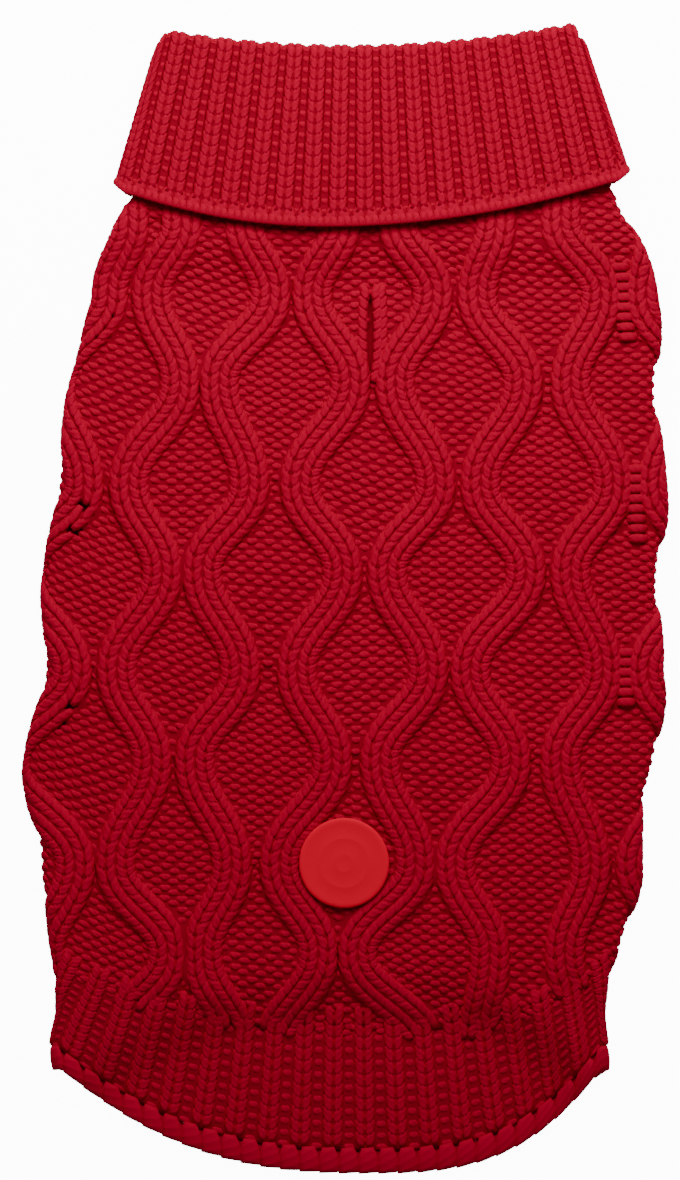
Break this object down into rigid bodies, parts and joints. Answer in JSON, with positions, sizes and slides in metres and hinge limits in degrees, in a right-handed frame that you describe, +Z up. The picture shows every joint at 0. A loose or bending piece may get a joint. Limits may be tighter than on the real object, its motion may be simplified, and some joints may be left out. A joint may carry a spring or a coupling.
{
  "type": "dog sweater",
  "caption": "Cable-knit dog sweater laid flat: ribbed roll collar turned down, leash slit, leg holes, curved ribbed hem with linked edging and a round patch.",
  "frame": {"origin": "middle of the sweater's outline, on the surface that it lies on", "axes": "+Y towards the collar, +X towards the dog's right side, +Z up out of the dog's back"},
  "size_m": [0.2138, 0.382, 0.0132],
  "materials": {
    "body_knit": "soft acrylic yarn, cables on a purl ground",
    "collar_rib": "soft acrylic yarn, two-by-one rib",
    "hem_rib": "soft acrylic yarn, rib",
    "linked_edging": "soft acrylic yarn, linked edge",
    "leg_band": "soft acrylic yarn, rib",
    "patch": "smooth soft rubber, raised rim"
  },
  "bodies": {
    "root": {"back_panel": "body_knit", "belly_panel": "body_knit", "roll_collar": "collar_rib", "hem_rib_back": "hem_rib", "hem_rib_belly": "hem_rib", "hem_edging": "linked_edging", "leg_band_left": "leg_band", "leg_band_right": "leg_band", "round_label": "patch"}
  },
  "joints": []
}
